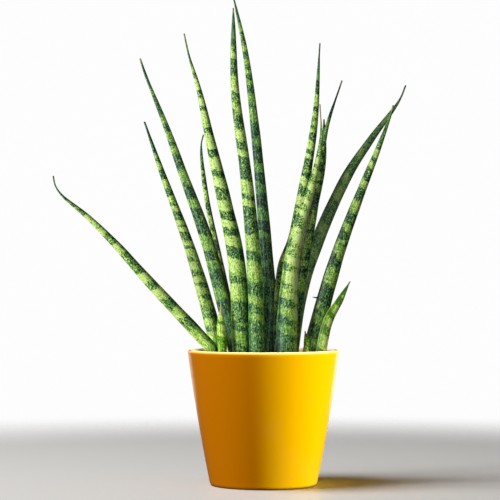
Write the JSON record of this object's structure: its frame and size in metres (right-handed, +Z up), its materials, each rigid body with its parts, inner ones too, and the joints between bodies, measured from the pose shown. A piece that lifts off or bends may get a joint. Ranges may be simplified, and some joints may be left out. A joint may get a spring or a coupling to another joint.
{
  "type": "cylindrical snake plant in pot",
  "caption": "Potted succulent with a fan of long, nearly round, channelled leaves in soil, in a tapered round glazed pot.",
  "frame": {"origin": "centre of the pot's flat underside", "axes": "+Z up along the pot's axis, -Y towards the front"},
  "size_m": [0.3145, 0.1344, 0.441],
  "materials": {
    "yellow_glaze": "satin",
    "potting_soil": "matte",
    "mature_leaf": "satin",
    "young_leaf": "satin"
  },
  "bodies": {
    "root": {"pot": "yellow_glaze", "soil": "potting_soil", "leaf_01": "mature_leaf", "leaf_02": "mature_leaf", "leaf_03": "mature_leaf", "leaf_04": "mature_leaf", "leaf_05": "mature_leaf", "leaf_06": "mature_leaf", "leaf_07": "mature_leaf", "leaf_08": "mature_leaf", "leaf_09": "mature_leaf", "leaf_10": "mature_leaf", "leaf_11": "mature_leaf", "leaf_12": "mature_leaf", "leaf_13": "mature_leaf", "young_leaf_left": "young_leaf", "young_leaf_right": "young_leaf", "scale_leaf": "young_leaf"}
  },
  "joints": []
}
